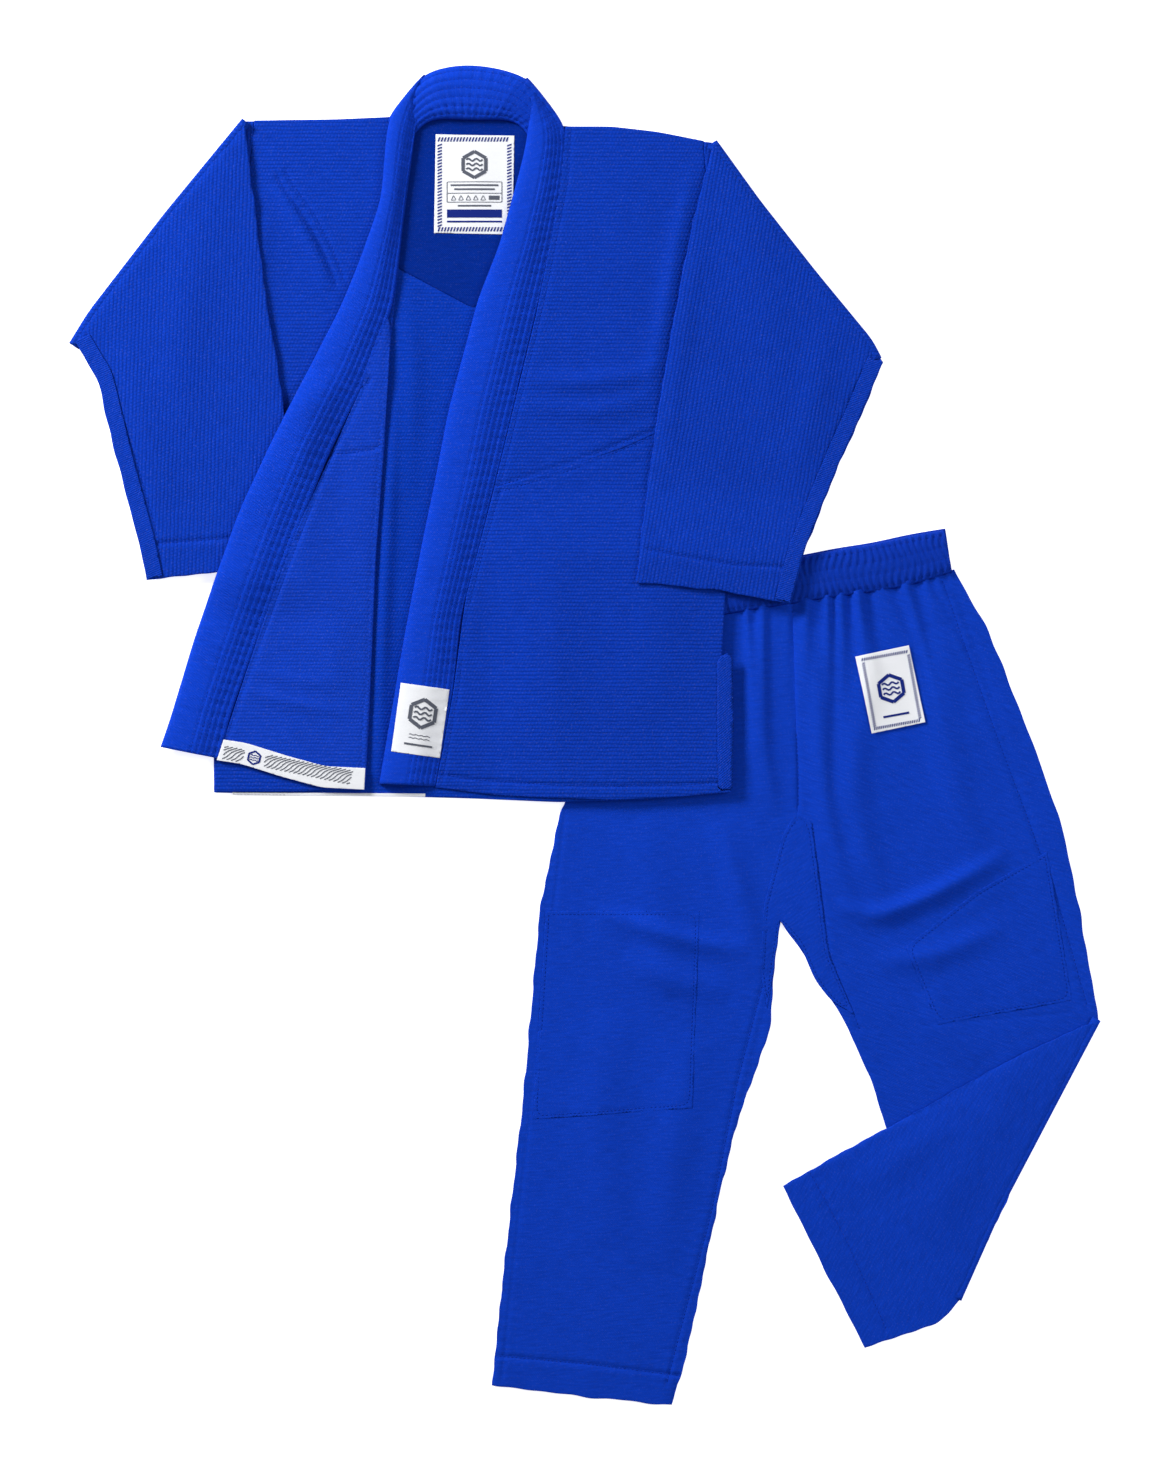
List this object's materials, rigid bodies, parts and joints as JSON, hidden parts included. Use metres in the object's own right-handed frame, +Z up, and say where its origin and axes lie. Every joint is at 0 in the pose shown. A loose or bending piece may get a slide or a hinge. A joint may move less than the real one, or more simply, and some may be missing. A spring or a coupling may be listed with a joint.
{
  "type": "martial arts uniform",
  "caption": "Youth grappling jacket and trousers laid out flat, front turned back, sleeves and one trouser leg folded.",
  "frame": {"origin": "middle of the laid-out uniform, on the surface that it lies on", "axes": "+Y from the trouser hems towards the collar, +X towards the wearer's left, +Z up from the surface"},
  "size_m": [0.8578, 1.1232, 0.0156],
  "materials": {
    "pearl_weave": "royal blue pearl weave cotton, matt",
    "trouser_twill": "royal blue light cotton drill, matt",
    "white_tape": "white woven tape with grey wavy lines",
    "woven_label": "white woven label with a hatched border",
    "lapel_core": "foamed rubber strip",
    "elastic": "white braided elastic"
  },
  "bodies": {
    "trousers": {"left_leg_back": "trouser_twill", "left_leg_front": "trouser_twill", "right_leg_back": "trouser_twill", "right_leg_front": "trouser_twill", "waistband_back": "trouser_twill", "waistband_front": "trouser_twill", "waist_elastic_back": "elastic", "waist_elastic_front": "elastic", "crotch_gusset": "trouser_twill", "left_knee_patch": "trouser_twill", "right_knee_patch": "trouser_twill", "left_leg_hem_tape": "white_tape", "trouser_patch": "woven_label"},
    "right_lower_leg": {"right_shin_front": "trouser_twill", "right_shin_back": "trouser_twill", "right_leg_hem_tape": "white_tape"},
    "jacket": {"back_panel": "pearl_weave", "back_yoke": "pearl_weave", "back_hem_tape": "white_tape", "neck_label": "woven_label", "collar_cover": "pearl_weave", "collar_core": "lapel_core", "left_shoulder": "pearl_weave", "left_front": "pearl_weave", "left_skirt": "pearl_weave", "right_front_side": "pearl_weave", "right_skirt_side": "pearl_weave", "right_vent_tape": "white_tape", "left_sleeve_root_back": "pearl_weave", "left_sleeve_root_front": "pearl_weave", "left_sleeve_under": "pearl_weave", "left_sleeve_upper": "pearl_weave", "left_underarm_tape": "pearl_weave", "left_cuff_tape": "white_tape", "right_sleeve_root_back": "pearl_weave", "right_sleeve_root_front": "pearl_weave"},
    "left_front": {"left_front_turned": "pearl_weave", "left_skirt_turned": "pearl_weave", "left_lapel_cover": "pearl_weave", "left_lapel_core": "lapel_core", "left_hem_tape": "white_tape"},
    "right_front": {"right_front_flap": "pearl_weave", "right_skirt_flap": "pearl_weave", "right_lapel_cover": "pearl_weave", "right_lapel_core": "lapel_core", "lapel_patch": "woven_label", "right_hem_tape": "white_tape"},
    "right_sleeve": {"right_sleeve_under": "pearl_weave", "right_sleeve_upper": "pearl_weave", "right_underarm_tape": "pearl_weave", "right_cuff_tape": "white_tape"}
  },
  "joints": [
    {"name": "jacket_lift", "type": "slide", "parent": "trousers", "child": "jacket", "axis": [0, 0, 1], "range_m": [0, 0.3]},
    {"name": "left_front_turn", "type": "hinge", "parent": "jacket", "child": "left_front", "pos_m": [-0.16541, 0.3122, 0.00415], "axis": [0.0587, 0.9983, 0], "range_deg": [0, 140]},
    {"name": "right_front_turn", "type": "hinge", "parent": "jacket", "child": "right_front", "pos_m": [-0.01291, 0.4592, 0.00233], "axis": [-0.0661, 0.9975, -0.0266], "range_deg": [0, 150]},
    {"name": "right_sleeve_fold", "type": "hinge", "parent": "jacket", "child": "right_sleeve", "pos_m": [0.10712, 0.49899, 0.00415], "axis": [-0.6074, 0.7944, 0], "range_deg": [0, 170]},
    {"name": "right_leg_fold", "type": "hinge", "parent": "trousers", "child": "right_lower_leg", "pos_m": [0.31235, -0.47394, 0.00285], "axis": [0.4442, 0.8959, 0], "range_deg": [0, 170]}
  ]
}
